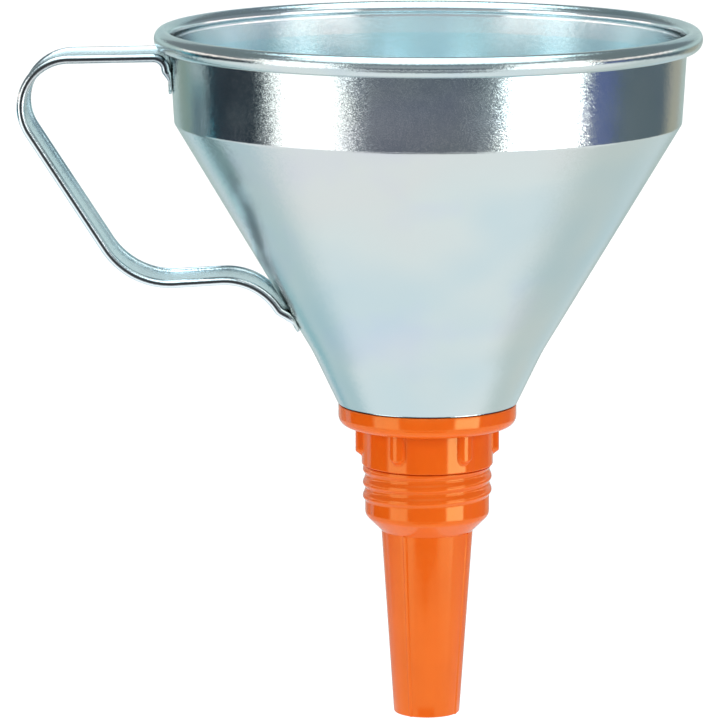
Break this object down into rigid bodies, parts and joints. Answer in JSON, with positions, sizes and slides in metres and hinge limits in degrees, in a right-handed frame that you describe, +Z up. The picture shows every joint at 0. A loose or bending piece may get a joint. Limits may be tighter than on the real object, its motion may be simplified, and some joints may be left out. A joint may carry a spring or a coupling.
{
  "type": "funnel",
  "caption": "Round sheet-steel fluid funnel with rolled rim, side strip handle, moulded spout with outer screw thread, and a lift-out gauze strainer.",
  "frame": {"origin": "on the funnel's axis, at the height where the spout's shoulder sits in a filler neck of about 40 mm bore", "axes": "+Z up along the funnel's axis, out of the bowl's mouth; the handle points to -X"},
  "size_m": [0.2494, 0.2, 0.2557],
  "materials": {
    "zinc_steel": "bright zinc plating with a faint blue tint, fine sparkle",
    "orange_plastic": "glossy moulded polypropylene",
    "black_rubber": "satin nitrile rubber",
    "strainer_steel": "satin",
    "brass_gauze": "woven wire"
  },
  "bodies": {
    "outlet": {"spout": "orange_plastic"},
    "seal": {"seal_ring": "black_rubber"},
    "vessel": {"bowl": "zinc_steel", "handle": "zinc_steel", "clamp_ring": "orange_plastic"},
    "strainer": {"strainer_ring": "strainer_steel", "strainer_gauze": "brass_gauze", "strainer_loop": "strainer_steel"}
  },
  "joints": [
    {"name": "bowl_turn", "type": "hinge", "parent": "outlet", "child": "seal", "pos_m": [0, 0, 0.0448], "axis": [0, 0, 1], "range_deg": [0, 720]},
    {"name": "bowl_rise", "type": "slide", "parent": "seal", "child": "vessel", "axis": [0, 0, 1], "range_m": [0, 0.0101]},
    {"name": "strainer_lift", "type": "slide", "parent": "vessel", "child": "strainer", "axis": [0, 0, 1], "range_m": [0, 0.145]}
  ],
  "couplings": [
    {"joint": "bowl_rise", "follows": "bowl_turn", "m_per_rad": 0.00079577}
  ]
}
